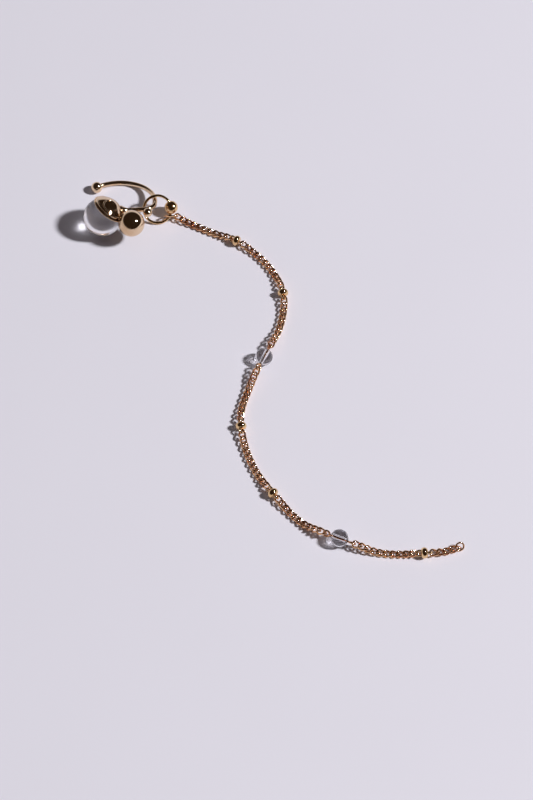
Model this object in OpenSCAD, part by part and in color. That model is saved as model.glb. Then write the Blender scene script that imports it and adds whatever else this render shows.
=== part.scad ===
// Ear chain earring, lying on a flat surface.
// Millimetres, Z up. The origin is the middle of the ear hook's round loop.

/* [Ear hook] */
// Diameter of the hook's wire
hook_wire_d = 1.0; // [0.8:0.05:1.2]
// Diameter of the hook's round loop, on the wire's centre line
hook_loop_d = 15; // [13:0.5:17]
// Angle at which the loop leans, its back on the surface and its front raised
hook_lean = 22; // [18:1:26]
// Angle round the loop at which the back end stands
hook_back_angle = 131; // [120:1:150]
// Angle round the loop at which the tight corner begins
hook_corner_angle = -8; // [-12:1:0]
// Radius of the tight corner, on the wire's centre line
hook_corner_r = 2.4; // [2.2:0.1:2.8]
// Slope of the straight front bar inside the loop's plane
hook_bar_slope = 6.5; // [4:0.5:9]
// Diameter of the small ball on the hook's back end
back_ball_d = 2.35; // [2:0.05:2.35]

/* [Front balls] */
// Diameter of the clear glass ball
glass_ball_d = 8; // [7:0.25:8.5]
// Diameter of the large gold ball
gold_ball_d = 5.5; // [5:0.1:6]
// Diameter of the small gold ball at the corner
corner_ball_d = 1.9; // [1.5:0.1:2.1]
// Diameter of the solder post that joins the large gold ball to the bar
post_d = 1.0; // [0.8:0.1:1.4]
// Compass angle of the large gold ball, seen from the glass ball
gold_ball_turn = -24; // [-28:1:-20]
// Rise of the large gold ball, seen from the glass ball
gold_ball_rise = 13; // [8:1:20]

/* [Cup on the glass ball] */
// Wall of the cup
cup_wall = 0.14; // [0.12:0.02:0.3]
// Angle from the cup's middle to its rim
cup_reach = 57; // [52:1:60]
// Thickness of the rolled rim
cup_rim_d = 0.3; // [0.22:0.02:0.42]
// Height of the raised dome that covers most of the cup
cup_dome_rise = 0.1; // [0.06:0.02:0.3]
// Angle from the cup's middle to the dome's edge
cup_dome_reach = 48; // [38:1:50]
// Thickness of the round ridge along the dome's edge
cup_ridge_d = 0.4; // [0.3:0.02:0.5]
// Diameter of the raised eye ring on the dome, on its wire's centre line
cup_eye_d = 2.8; // [2.4:0.1:3.2]
// Thickness of the eye ring
cup_eye_wire_d = 0.36; // [0.3:0.02:0.44]
// Compass angle of the eye ring's middle
cup_eye_turn = 3; // [-4:1:10]
// Rise of the eye ring's middle above level
cup_eye_rise = 65; // [60:1:70]
// Compass angle of the cup's middle
cup_turn = 29; // [20:1:34]
// Rise of the cup's middle above level
cup_rise = 47; // [42:1:52]
// Length of the flared neck between the bar and the cup
neck_l = 1.5; // [1:0.1:2]
// Diameter of the neck where it meets the cup
neck_d = 2.2; // [1.8:0.1:3]

/* [Hoop ring] */
// Diameter of the ring that hangs on the hook, on its wire's centre line
ring_d = 5.7; // [5.3:0.1:6.1]
// Diameter of the ring's wire
ring_wire_d = 0.6; // [0.5:0.05:0.7]
// Diameter of the ball soldered on the ring
ring_ball_d = 2.8; // [2.2:0.1:3]
// Lean of the ring above level
ring_lean = 38; // [34:1:42]
// Compass turn of the ring
ring_turn = 10; // [6:1:14]

/* [Jump ring] */
// Diameter of the jump ring, on its wire's centre line
jump_ring_d = 2.6; // [2.3:0.1:2.8]
// Diameter of the jump ring's wire
jump_wire_d = 0.4; // [0.35:0.05:0.45]
// Lean of the jump ring, past upright towards the front
jump_ring_lean = 124; // [120:1:128]
// Place on the hoop ring where the jump ring hangs
jump_ring_place = -45; // [-50:1:-42]

/* [Chain] */
// Diameter of the chain's wire
link_wire_d = 0.38; // [0.34:0.01:0.4]
// Length of a link, on its wire's centre line
link_l = 1.92; // [1.88:0.02:2]
// Width of a link before it is twisted, on its wire's centre line
link_w = 1.2; // [1.16:0.01:1.26]
// Twist of each end of a link against its middle
link_twist = 57; // [54:1:60]
// Spacing of the links
link_pitch = 1.29; // [1.27:0.01:1.31]
// Distance along the chain to the first bead
first_bead_at = 14.3; // [13:0.1:16]
// Distance along the chain from bead to bead
bead_spacing = 16.74; // [15:0.02:19]
// Length of chain from the last bead to the free end
tail_l = 7.3; // [6:0.1:9]

/* [Beads] */
// Diameter of a gold bead
gold_bead_d = 2.2; // [2:0.05:2.4]
// Width of a gold bead, along the chain
gold_bead_w = 1.4; // [1.2:0.05:1.6]
// Diameter of a clear glass bead
glass_bead_d = 3.5; // [3.2:0.1:3.8]
// Diameter of the hole through a glass bead
glass_bead_bore = 0.62; // [0.6:0.02:0.8]
// Diameter of the wire of the pin through a glass bead
pin_wire_d = 0.4; // [0.34:0.02:0.42]
// Diameter of the loop on each end of the pin, on its wire's centre line
pin_loop_d = 1.2; // [1.16:0.02:1.3]

/* [End ring] */
// Diameter of the ring at the chain's free end, on its wire's centre line
end_ring_d = 1.6; // [1.55:0.05:1.9]
// Diameter of the end ring's wire
end_ring_wire_d = 0.35; // [0.3:0.01:0.38]
// Tilt of the end ring about the chain's line
end_ring_tilt = 50; // [44:1:57]

/* [Hidden] */
$fn = 48;

GOLD = "#d8a74e";
CLEAR = "#e4e0ec";

// The gap left between pieces that touch on the real earring
seat_gap = 0.06;
// The gap left round a wire that passes through a ring or a link
link_gap = 0.1;
// How far a soldered ball sinks into the wire that carries it
solder_sink = 0.12;
// How much thicker than the wire a soldered joint between two bends is
joint_swell = 0.04;
// How far the neck runs on into the room of the glass ball, before that room is cut out
neck_sink = 0.9;

// The surface that everything lies on, seen from the origin
hook_wire_r = hook_wire_d / 2;
hook_r = hook_loop_d / 2;
table_z = -(hook_wire_r + hook_r * sin(hook_lean));

// Vector helpers
function unit(v) = v / norm(v);
function polar(turn, rise) = [cos(rise) * cos(turn), cos(rise) * sin(turn), sin(rise)];
function lean_forward(p) = [p[0], p[1] * cos(hook_lean), -p[1] * sin(hook_lean)];
function round_point(r, a) = [r * cos(a), r * sin(a)];

// The hook's corner and straight bar, first in the loop's plane
corner_centre = round_point(hook_r - hook_corner_r, hook_corner_angle);
corner_end_angle = hook_bar_slope - 90;
bar_heading = 180 + hook_bar_slope;
bar_start = corner_centre + round_point(hook_corner_r, corner_end_angle);
bar_start_3d = lean_forward(bar_start);
bar_axis_3d = lean_forward(round_point(1, bar_heading));

// The glass ball lies on the surface, in front of the hook's loop and left of its corner
glass_r = glass_ball_d / 2;
glass_left_of_corner = 8.5;
glass_front_gap = 0.48;
glass_at = [bar_start_3d[0] - glass_left_of_corner, -glass_r - glass_front_gap, table_z + glass_r];
cup_inner_r = glass_r + seat_gap;
cup_outer_r = cup_inner_r + cup_wall;
cup_dome_r = cup_outer_r + cup_dome_rise;

// The bar runs until it is sunk in the cup's wall
to_glass = glass_at - bar_start_3d;
bar_nearest = to_glass * bar_axis_3d;
bar_miss = norm(to_glass - bar_nearest * bar_axis_3d);
bar_l = bar_nearest - sqrt(pow(cup_outer_r - cup_wall / 4, 2) - pow(bar_miss, 2));

// The large gold ball rests against the glass ball and is soldered to the bar
gold_r = gold_ball_d / 2;
gold_at = glass_at + (glass_r + gold_r + seat_gap) * polar(gold_ball_turn, gold_ball_rise);
post_foot_at = (gold_at - bar_start_3d) * bar_axis_3d;
post_foot = bar_start_3d + post_foot_at * bar_axis_3d;

// The small gold ball is soldered on the outside of the corner
corner_ball_angle = -73;
corner_ball_out = hook_corner_r + hook_wire_r + corner_ball_d / 2 - solder_sink;
corner_ball_in_plane = corner_centre + round_point(corner_ball_out, corner_ball_angle);

// The hoop ring hangs on the side of the loop and rests on the surface
ring_r = ring_d / 2;
ring_wire_r = ring_wire_d / 2;
ring_across = [cos(ring_turn), sin(ring_turn), 0];
ring_up = [-sin(ring_turn) * cos(ring_lean), cos(ring_turn) * cos(ring_lean), sin(ring_lean)];
ring_hang_out = ring_r - ring_wire_r - hook_wire_r;
ring_at = [hook_r + 0.25 * ring_hang_out, -0.52 * ring_hang_out, table_z + ring_r * sin(ring_lean) + ring_wire_r];
function on_ring(a) = ring_at + ring_r * (cos(a) * ring_across + sin(a) * ring_up);

// The jump ring goes round the hoop ring's wire and rests on the surface
jump_r = jump_ring_d / 2;
jump_wire_r = jump_wire_d / 2;
jump_hang = on_ring(jump_ring_place);
jump_at = [jump_hang[0] + jump_r - jump_wire_r - ring_wire_r - 2.1 * link_gap, jump_hang[1],
    table_z + jump_r * sin(jump_ring_lean) + jump_wire_r];

// A link's centre line: two half circles and two straights, twisted along its length
link_wire_r = link_wire_d / 2;
link_end_r = link_w / 2;
link_half = link_l / 2;
ARC_STEPS = 5;
WIRE_SIDES = 6;
function flat_link_point(side, a) = [side * (link_half - link_end_r + link_end_r * cos(a)), side * link_end_r * sin(a)];
function twisted(p) = let (turn = -link_twist * p[0] / link_half) [p[0], p[1] * cos(turn), p[1] * sin(turn)];
LINK_LINE = [for (side = [1, -1]) for (k = [0:ARC_STEPS]) twisted(flat_link_point(side, -90 + 180 * k / ARC_STEPS))];
LINK_STATIONS = len(LINK_LINE);
function link_tangent(i) =
    unit(LINK_LINE[(i + 1) % LINK_STATIONS] - LINK_LINE[(i + LINK_STATIONS - 1) % LINK_STATIONS]);
function link_normal(i) =
    let (turn = -link_twist * LINK_LINE[i][0] / link_half,
        flat = [0, -sin(turn), cos(turn)],
        t = link_tangent(i))
    unit(flat - (flat * t) * t);
LINK_POINTS = [for (i = [0:LINK_STATIONS - 1])
    let (n = link_normal(i), b = cross(link_tangent(i), n))
    for (k = [0:WIRE_SIDES - 1])
        let (a = 360 * k / WIRE_SIDES)
        LINK_LINE[i] + link_wire_r * (cos(a) * n + sin(a) * b)];
function link_index(i, k) = (i % LINK_STATIONS) * WIRE_SIDES + k % WIRE_SIDES;
LINK_FACES = [for (i = [0:LINK_STATIONS - 1]) for (k = [0:WIRE_SIDES - 1]) for (half = [0, 1])
    half == 0
        ? [link_index(i, k), link_index(i, k + 1), link_index(i + 1, k + 1)]
        : [link_index(i, k), link_index(i + 1, k + 1), link_index(i + 1, k)]];
link_rest_h = link_wire_r + max([for (p = LINK_LINE) abs(p[2])]);

// The chain's route on the surface, from the link in the jump ring to the end ring
ROUTE = [[0, 0], [7, -3.5], [14, -7], [19.5, -12.5], [22.5, -19.5], [22, -26.5], [19.5, -33.5],
    [16.5, -40], [14, -47.5], [14.5, -54.5], [17, -61.5], [21, -67.5], [26.5, -73.5], [33, -77],
    [40, -79.4], [47.5, -79.9], [53, -79.4], [56.4, -78.2]];
ROUTE_STEPS = 10;
first_link_back = 0.2;
chain_start = [jump_at[0] + jump_r - jump_wire_r - link_wire_r - 1.2 * link_gap, jump_at[1] + first_link_back];

// A smooth curve through the route's points
route_last = len(ROUTE) - 1;
function route_point(i) =
    i < 0 ? 2 * ROUTE[0] - ROUTE[1]
    : i > route_last ? 2 * ROUTE[route_last] - ROUTE[route_last - 1]
    : ROUTE[i];
function smooth_point(a, b, c, d, t) =
    0.5 * (2 * b + (c - a) * t + (2 * a - 5 * b + 4 * c - d) * t * t + (3 * b - a - 3 * c + d) * t * t * t);
DRAWN_LINE = [for (i = [0:route_last - 1]) for (k = [0:ROUTE_STEPS - 1])
        smooth_point(route_point(i - 1), route_point(i), route_point(i + 1), route_point(i + 2), k / ROUTE_STEPS),
    ROUTE[route_last]];
function run_lengths(line, i = 0, so_far = 0) =
    i == len(line) - 1 ? [so_far]
    : concat([so_far], run_lengths(line, i + 1, so_far + norm(line[i + 1] - line[i])));
DRAWN_RUN = run_lengths(DRAWN_LINE);

// The beads, in order along the chain
BEADS = ["gold", "gold", "glass", "gold", "gold", "glass", "gold"];
function bead_flat_at(i) = first_bead_at + i * bead_spacing;

// The route grows or shrinks to the length that the beads and the free end take
route_l = bead_flat_at(len(BEADS) - 1) + tail_l;
route_scale = route_l / DRAWN_RUN[len(DRAWN_RUN) - 1];
FLAT_LINE = [for (p = DRAWN_LINE) route_scale * p];
FLAT_RUN = [for (run = DRAWN_RUN) route_scale * run];

// How high the chain is carried at its ends and at each bead, and how far that reaches
start_h = jump_r * sin(jump_ring_lean) + jump_wire_r;
end_h = end_ring_d / 2 * sin(end_ring_tilt) + end_ring_wire_d / 2;
gold_bead_ramp = 2.8;
glass_bead_ramp = 5;
end_ramp = 3;
level_spare = 0.2;
pin_half = glass_bead_d / 2 + pin_wire_d / 2 + 0.1 + pin_loop_d;
LIFTS = concat(
    [[0, start_h, link_wire_d, end_ramp], [route_l, end_h, end_ring_d / 2, end_ramp]],
    [for (i = [0:len(BEADS) - 1])
        BEADS[i] == "gold" ? [bead_flat_at(i), gold_bead_d / 2, gold_bead_w + level_spare, gold_bead_ramp]
        : [bead_flat_at(i), glass_bead_d / 2, pin_half + level_spare, glass_bead_ramp]]);
function swell(away, level, ramp) =
    away < level ? 1
    : away > level + ramp ? 0
    : (1 + cos(180 * (away - level) / ramp)) / 2;
function carried_h(s) =
    link_rest_h + max(concat([0], [for (l = LIFTS) (l[1] - link_rest_h) * swell(abs(s - l[0]), l[2], l[3])]));

// The chain's line in space, looked up by the length run along it
CHAIN_LINE = [for (i = [0:len(FLAT_LINE) - 1])
    [chain_start[0] + FLAT_LINE[i][0], chain_start[1] + FLAT_LINE[i][1], table_z + carried_h(FLAT_RUN[i])]];
CHAIN_RUN = run_lengths(CHAIN_LINE);
chain_l = CHAIN_RUN[len(CHAIN_RUN) - 1];
AXES = [for (axis = [0:2]) [for (i = [0:len(CHAIN_LINE) - 1]) [CHAIN_RUN[i], CHAIN_LINE[i][axis]]]];
FLAT_TO_RUN = [for (i = [0:len(FLAT_RUN) - 1]) [FLAT_RUN[i], CHAIN_RUN[i]]];
function on_chain(at) = [for (axis = [0:2]) lookup(at, AXES[axis])];
function bead_at(i) = lookup(bead_flat_at(i), FLAT_TO_RUN);

// The frame of a piece that spans the chain's line from half its length before to half after
function spanning(at, half) =
    let (a = on_chain(at - half), b = on_chain(at + half),
        x = unit(b - a),
        y = unit([-x[1], x[0], 0]),
        z = cross(x, y),
        p = (a + b) / 2)
    [[x[0], y[0], z[0], p[0]], [x[1], y[1], z[1], p[1]], [x[2], y[2], z[2], p[2]], [0, 0, 0, 1]];

// From the middle of each carrier to the middle of the link next to it
gold_reach = gold_bead_w / 2 + 1.35 * link_gap + link_wire_r + link_half;
gold_eye_at = gold_reach - link_half + link_wire_d + 1.45 * link_gap - link_end_r;
pin_loop_at = glass_bead_d / 2 + 0.1 + (pin_wire_d + pin_loop_d) / 2;
glass_reach = pin_loop_at + pin_loop_d / 2 - pin_wire_d / 2 - link_wire_r - 1.2 * link_gap + link_half;
end_reach = link_half - link_wire_r - 1.2 * link_gap - end_ring_wire_d / 2 + end_ring_d / 2;
function reach(kind) = kind == "gold" ? gold_reach : glass_reach;

// The stretches of plain links: where the first and the last link of each stand
function stretch_first(i) = i == 0 ? link_half : bead_at(i - 1) + reach(BEADS[i - 1]);
function stretch_last(i) = i == len(BEADS) ? chain_l - end_reach : bead_at(i) - reach(BEADS[i]);
UPPER_STRETCHES = [0:3];
LOWER_STRETCHES = [4:7];

// A part of the hook drawn in the leaning plane of the loop
module in_hook_plane() {
    rotate([-hook_lean, 0, 0]) children();
}

// A bent wire: part of a circle round the origin, from one angle to the other
module wire_arc(r, wire_r, from, to) {
    rotate([0, 0, from])
        rotate_extrude(angle = to - from)
            translate([r, 0]) circle(wire_r);
}

// A closed round ring of wire
module wire_ring(d, wire_d) {
    rotate_extrude() translate([d / 2, 0]) circle(wire_d / 2);
}

// A straight round rod from one point to another
module rod(from, to, d) {
    way = to - from;
    translate(from)
        rotate([0, acos(way[2] / norm(way)), atan2(way[1], way[0])])
            cylinder(h = norm(way), d = d);
}

// The flared end of the bar, which runs on past the cup's wall so that no side of it stops short
module neck() {
    neck_r = neck_d / 2;
    end = neck_l + neck_sink;
    translate(bar_start_3d + (bar_l - neck_l) * bar_axis_3d)
        rotate([0, acos(bar_axis_3d[2]), atan2(bar_axis_3d[1], bar_axis_3d[0])])
            rotate_extrude() polygon([[0, 0], [hook_wire_r, 0], [neck_r, neck_l], [neck_r, end], [0, end]]);
}

// The hook's wire: round loop, tight corner and straight bar, with a soldered joint at each change
module hook_wire() {
    loop_end = round_point(hook_r, hook_corner_angle);
    in_hook_plane() {
        wire_arc(hook_r, hook_wire_r, hook_corner_angle, hook_back_angle);
        translate([corner_centre[0], corner_centre[1], 0])
            wire_arc(hook_corner_r, hook_wire_r, corner_end_angle, hook_corner_angle);
        for (joint = [loop_end, bar_start])
            translate([joint[0], joint[1], 0]) sphere(d = hook_wire_d + joint_swell);
    }
    rod(bar_start_3d, bar_start_3d + bar_l * bar_axis_3d, hook_wire_d);
}

// The balls soldered to the hook's wire
module hook_balls() {
    in_hook_plane() {
        back = round_point(hook_r, hook_back_angle);
        translate([back[0], back[1], 0]) sphere(d = back_ball_d);
        translate([corner_ball_in_plane[0], corner_ball_in_plane[1], 0]) sphere(d = corner_ball_d);
    }
    translate(gold_at) sphere(r = gold_r);
    rod(post_foot, gold_at, post_d);
}

// A solid ball cut off by a cone round Z, out to the given angle
module ball_sector(r, reach_angle) {
    intersection() {
        sphere(r = r);
        cylinder(h = 2 * r, r1 = 0, r2 = 2 * r * tan(reach_angle));
    }
}

// What is drawn round Z goes round a line through the glass ball's middle
module round_glass(turn, rise) {
    translate(glass_at) rotate([0, 90 - rise, turn]) children();
}

// A raised ring round Z, at an angle from Z and a distance from the glass ball's middle
module raised_ring(angle, r, d) {
    translate([0, 0, r * cos(angle)]) wire_ring(2 * r * sin(angle), d);
}

// The cup round the glass ball, before the ball's own room is cut out
module cup_blank() {
    round_glass(cup_turn, cup_rise) {
        ball_sector(cup_outer_r, cup_reach);
        ball_sector(cup_dome_r, cup_dome_reach);
        raised_ring(cup_reach, cup_inner_r + cup_rim_d / 2, cup_rim_d);
        raised_ring(cup_dome_reach, cup_outer_r, cup_ridge_d);
    }
    round_glass(cup_eye_turn, cup_eye_rise)
        raised_ring(asin(cup_eye_d / 2 / cup_dome_r), cup_dome_r, cup_eye_wire_d);
    neck();
}

module ear_hook() {
    color(GOLD)
    difference() {
        union() {
            hook_wire();
            hook_balls();
            cup_blank();
        }
        translate(glass_at) sphere(r = cup_inner_r);
    }
}

module glass_ball() {
    color(CLEAR, 0.4)
    translate(glass_at) sphere(r = glass_r);
}

module hoop_ring() {
    color(GOLD) {
        translate(ring_at) rotate([0, 0, ring_turn]) rotate([ring_lean, 0, 0]) wire_ring(ring_d, ring_wire_d);
        translate(on_ring(0)) sphere(d = ring_ball_d);
    }
}

module jump_ring() {
    color(GOLD)
    translate(jump_at) rotate([jump_ring_lean, 0, 0]) wire_ring(jump_ring_d, jump_wire_d);
}

module link() {
    polyhedron(points = LINK_POINTS, faces = LINK_FACES);
}

// The plain links between two beads, spaced evenly near the chain's own pitch
module stretch(i) {
    first = stretch_first(i);
    last = stretch_last(i);
    steps = round((last - first) / link_pitch);
    for (k = [0:steps]) multmatrix(spanning(first + k * (last - first) / steps, link_half)) link();
}

module chain_upper() {
    color(GOLD)
    for (i = UPPER_STRETCHES) stretch(i);
}

module chain_lower() {
    color(GOLD)
    for (i = LOWER_STRETCHES) stretch(i);
}

// Half the section of a gold bead: flat faces and a bulging edge
module gold_bead_section() {
    edge_r = gold_bead_w / 2;
    core_r = gold_bead_d / 2 - edge_r;
    translate([0, -edge_r]) square([core_r, gold_bead_w]);
    intersection() {
        translate([core_r, 0]) circle(edge_r);
        translate([core_r, -edge_r]) square(gold_bead_w);
    }
}

// A gold bead with its axis along X and a wire eye, sunk in its face, on each side
module gold_bead(i) {
    color(GOLD)
    multmatrix(spanning(bead_at(i), gold_bead_w)) {
        rotate([0, 90, 0]) rotate_extrude() gold_bead_section();
        for (side = [-1, 1])
            rotate([-side * link_twist, 0, 0]) translate([side * gold_eye_at, 0, 0])
                wire_ring(link_w, link_wire_d);
    }
}

module glass_bead(i) {
    color(CLEAR, 0.4)
    multmatrix(spanning(bead_at(i), pin_half))
        difference() {
            sphere(d = glass_bead_d);
            rotate([0, 90, 0]) cylinder(h = 2 * glass_bead_d, d = glass_bead_bore, center = true);
        }
}

// A straight pin through a glass bead, turned into a round loop at each end
module bead_pin(i) {
    straight = pin_loop_at - pin_loop_d / 2;
    color(GOLD)
    multmatrix(spanning(bead_at(i), pin_half)) {
        rotate([0, 90, 0]) cylinder(h = 2 * straight, d = pin_wire_d, center = true);
        for (side = [-1, 1])
            rotate([-side * link_twist, 0, 0]) translate([side * pin_loop_at, 0, 0])
                wire_ring(pin_loop_d, pin_wire_d);
    }
}

module end_ring() {
    color(GOLD)
    multmatrix(spanning(chain_l - end_ring_d / 8, end_ring_d / 8))
        rotate([end_ring_tilt, 0, 0]) wire_ring(end_ring_d, end_ring_wire_d);
}

ear_hook();
glass_ball();
hoop_ring();
jump_ring();
chain_upper();
chain_lower();
gold_bead(0);  // gold_bead_1
gold_bead(1);  // gold_bead_2
glass_bead(2);  // glass_bead_1
bead_pin(2);  // bead_pin_1
gold_bead(3);  // gold_bead_3
gold_bead(4);  // gold_bead_4
glass_bead(5);  // glass_bead_2
bead_pin(5);  // bead_pin_2
gold_bead(6);  // gold_bead_5
end_ring();
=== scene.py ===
"""Ear chain earring lying on a pale surface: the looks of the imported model.

Sizes are in millimetres while a piece is worked out, as in the part's source, and
become metres when its mesh is made. Every piece lies where its CAD node lies.
"""
import logging
from bisect import bisect_left
from dataclasses import dataclass
from enum import Enum
from functools import partial
from itertools import accumulate
from math import acos, cos, degrees, pi, radians, sin, sqrt

import bmesh
import bpy
from bpy.types import Material, Mesh, Node, NodeTree, Object
from mathutils import Matrix, Vector, noise


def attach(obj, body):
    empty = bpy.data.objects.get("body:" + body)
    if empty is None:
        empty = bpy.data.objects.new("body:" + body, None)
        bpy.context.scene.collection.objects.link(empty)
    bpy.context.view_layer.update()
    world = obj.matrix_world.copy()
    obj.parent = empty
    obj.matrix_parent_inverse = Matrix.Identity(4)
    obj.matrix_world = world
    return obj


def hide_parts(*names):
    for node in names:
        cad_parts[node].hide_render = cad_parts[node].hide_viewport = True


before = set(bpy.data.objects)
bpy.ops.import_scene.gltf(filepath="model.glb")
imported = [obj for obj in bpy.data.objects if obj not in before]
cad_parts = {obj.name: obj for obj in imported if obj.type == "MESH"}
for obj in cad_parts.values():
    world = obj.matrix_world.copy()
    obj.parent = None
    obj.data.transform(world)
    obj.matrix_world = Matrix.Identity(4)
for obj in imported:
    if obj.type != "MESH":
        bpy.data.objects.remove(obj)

LOG = logging.getLogger("ear_chain")
MM = 0.001
BODY = "root"
MERGE_DIST = 1e-4
SHARP_ANGLE = 40.0
Colour = tuple[float, float, float]


class Slot(Enum):
    """The record's material slots."""

    GOLD = "gold"
    GLASS = "clear_glass"


class BeadKind(Enum):
    """What a bead on the chain is made of."""

    GOLD = "gold"
    GLASS = "glass"


class LightForm(Enum):
    """The outline of a soft light's face."""

    DISK = "DISK"
    OVAL = "ELLIPSE"


# ---- Sizes ----


@dataclass(frozen=True)
class HookSizes:
    """The ear hook's sizes, as in the part's source, in millimetres and degrees."""

    wire_d: float = 1.0
    loop_d: float = 15.0
    lean: float = 22.0
    back_angle: float = 131.0
    corner_angle: float = -8.0
    corner_r: float = 2.4
    bar_slope: float = 6.5
    back_ball_d: float = 2.35
    corner_ball_d: float = 1.9
    corner_ball_angle: float = -73.0
    gold_ball_d: float = 5.5
    gold_ball_turn: float = -24.0
    gold_ball_rise: float = 13.0
    post_d: float = 1.0
    post_swell: float = 0.35
    solder_sink: float = 0.12

    @property
    def loop_r(self) -> float:
        """Returns: The radius of the loop's centre line."""
        return self.loop_d / 2

    @property
    def table_z(self) -> float:
        """Returns: The height of the surface that everything lies on."""
        return -(self.wire_d / 2 + self.loop_r * sin(radians(self.lean)))


@dataclass(frozen=True)
class CupSizes:
    """The cup on the glass ball, in millimetres and degrees."""

    glass_d: float = 8.0
    seat_gap: float = 0.06
    wall: float = 0.14
    reach: float = 57.0
    rim_d: float = 0.3
    dome_rise: float = 0.1
    dome_reach: float = 48.0
    flange_sink: float = 0.07
    ridge_d: float = 0.4
    eye_d: float = 2.8
    eye_wire_d: float = 0.36
    eye_turn: float = 3.0
    eye_rise: float = 65.0
    turn: float = 29.0
    rise: float = 47.0
    neck_l: float = 1.5
    neck_d: float = 2.2
    neck_sink: float = 0.9
    left_of_corner: float = 8.5
    front_gap: float = 0.48

    @property
    def inner_r(self) -> float:
        """Returns: The radius of the cup's hollow."""
        return self.glass_d / 2 + self.seat_gap

    @property
    def outer_r(self) -> float:
        """Returns: The radius of the cup's outside."""
        return self.inner_r + self.wall


@dataclass(frozen=True)
class RingSizes:
    """The hoop ring and the jump ring, in millimetres and degrees.

    The two hangs are shares of the way that the hoop ring can slide on the hook. The
    slacks are multiples of the gap between links.
    """

    ring_d: float = 5.7
    ring_wire_d: float = 0.6
    ring_ball_d: float = 2.8
    ring_lean: float = 38.0
    ring_turn: float = 10.0
    hang_right: float = 0.25
    hang_back: float = -0.52
    jump_d: float = 2.6
    jump_wire_d: float = 0.4
    jump_lean: float = 124.0
    jump_place: float = -45.0
    jump_slack: float = 2.1
    link_gap: float = 0.1
    first_link_slack: float = 1.2
    first_link_back: float = 0.2


@dataclass(frozen=True)
class ChainSizes:
    """The chain, its beads and its end ring, in millimetres and degrees.

    The slacks are multiples of the gap. A ramp is the length over which the chain
    rises to what carries it.
    """

    wire_d: float = 0.38
    link_l: float = 1.92
    link_w: float = 1.2
    twist: float = 57.0
    pitch: float = 1.29
    first_bead_at: float = 14.3
    bead_spacing: float = 16.74
    tail_l: float = 7.3
    gap: float = 0.1
    gold_bead_d: float = 2.2
    gold_bead_w: float = 1.4
    gold_bead_slack: float = 1.35
    gold_eye_slack: float = 1.45
    gold_bead_ramp: float = 2.8
    glass_bead_d: float = 3.5
    glass_bead_bore: float = 0.62
    glass_bead_ramp: float = 5.0
    pin_wire_d: float = 0.4
    pin_loop_d: float = 1.2
    pin_spare: float = 0.1
    pin_slack: float = 1.2
    level_spare: float = 0.2
    end_ring_d: float = 1.6
    end_ring_wire_d: float = 0.35
    end_ring_tilt: float = 50.0
    end_slack: float = 1.2
    end_ramp: float = 3.0
    beads: tuple[BeadKind, ...] = (
        BeadKind.GOLD, BeadKind.GOLD, BeadKind.GLASS, BeadKind.GOLD,
        BeadKind.GOLD, BeadKind.GLASS, BeadKind.GOLD,
    )
    route: tuple[tuple[float, float], ...] = (
        (0, 0), (7, -3.5), (14, -7), (19.5, -12.5), (22.5, -19.5), (22, -26.5),
        (19.5, -33.5), (16.5, -40), (14, -47.5), (14.5, -54.5), (17, -61.5),
        (21, -67.5), (26.5, -73.5), (33, -77), (40, -79.4), (47.5, -79.9),
        (53, -79.4), (56.4, -78.2),
    )

    @property
    def half(self) -> float:
        """Returns: Half the length of a link's centre line."""
        return self.link_l / 2

    @property
    def wire_r(self) -> float:
        """Returns: The radius of the links' wire."""
        return self.wire_d / 2


# ---- Mesh helpers ----


def evenly(start: float, end: float, steps: int) -> list[float]:
    """Lists evenly spaced values from start to end, both included."""
    return [start + (end - start) * k / steps for k in range(steps + 1)]


def basis(x: Vector, y: Vector, z: Vector, at: Vector) -> Matrix:
    """A frame from its three axes and its place."""
    return Matrix.Translation(at) @ Matrix((x, y, z)).transposed().to_4x4()


def facing(axis: Vector, at: Vector) -> Matrix:
    """A frame at a place, whose Z axis runs along a direction."""
    return Matrix.Translation(at) @ axis.to_track_quat("Z", "Y").to_matrix().to_4x4()


def turned(angle: float, axis: str) -> Matrix:
    """A turn by an angle in degrees round the X, Y or Z axis."""
    return Matrix.Rotation(radians(angle), 4, axis)


def flat(r: float, angle: float) -> Vector:
    """A point in the XY plane, from its distance and its angle in degrees."""
    return Vector((r * cos(radians(angle)), r * sin(radians(angle)), 0))


def polar(turn: float, rise: float) -> Vector:
    """A unit vector from its compass angle and its rise above level, in degrees."""
    level = flat(cos(radians(rise)), turn)
    return Vector((level.x, level.y, sin(radians(rise))))


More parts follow.
